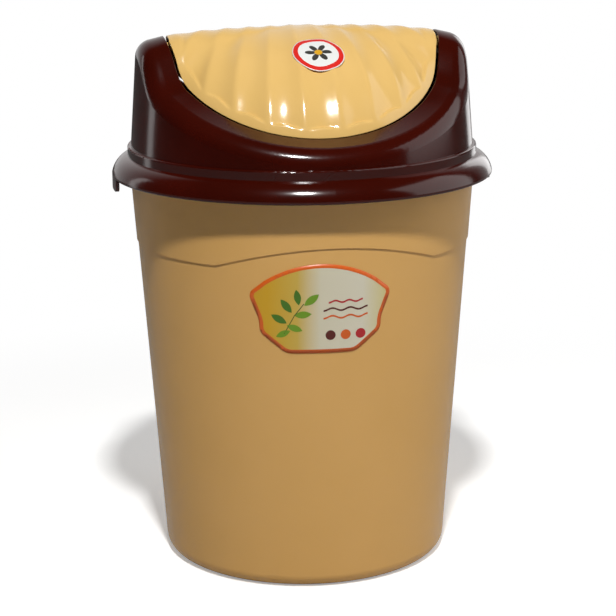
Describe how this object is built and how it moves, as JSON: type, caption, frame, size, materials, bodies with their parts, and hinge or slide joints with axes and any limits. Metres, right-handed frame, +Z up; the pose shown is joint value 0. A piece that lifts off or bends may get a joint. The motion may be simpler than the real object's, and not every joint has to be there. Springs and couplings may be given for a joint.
{
  "type": "swing-top trash can",
  "caption": "Small round swing-top trash can: tapered cream bucket, dark brown lift-off lid with a domed mouth, and a free-swinging cream flap.",
  "frame": {"origin": "centre of the resting plane under the bucket, on its upright axis", "axes": "+Z up along the bucket's axis, front (label side) towards -Y, flap pivots along X"},
  "size_m": [0.1964, 0.1964, 0.277],
  "materials": {
    "cream_plastic": "satin moulded polypropylene",
    "brown_plastic": "glossy moulded polypropylene",
    "label_paper": "coated paper",
    "sticker_paper": "coated paper"
  },
  "bodies": {
    "bin": {"bin_body": "cream_plastic", "front_label": "label_paper"},
    "lid": {"lid_dome": "brown_plastic"},
    "flap": {"swing_flap": "cream_plastic", "flap_sticker": "sticker_paper"}
  },
  "joints": [
    {"name": "lid_lift", "type": "slide", "parent": "bin", "child": "lid", "axis": [0, 0, 1], "range_m": [0, 0.08]},
    {"name": "flap_swing", "type": "hinge", "parent": "lid", "child": "flap", "pos_m": [0, 0, 0.2665], "axis": [1, 0, 0], "range_deg": [-75, 75]}
  ]
}
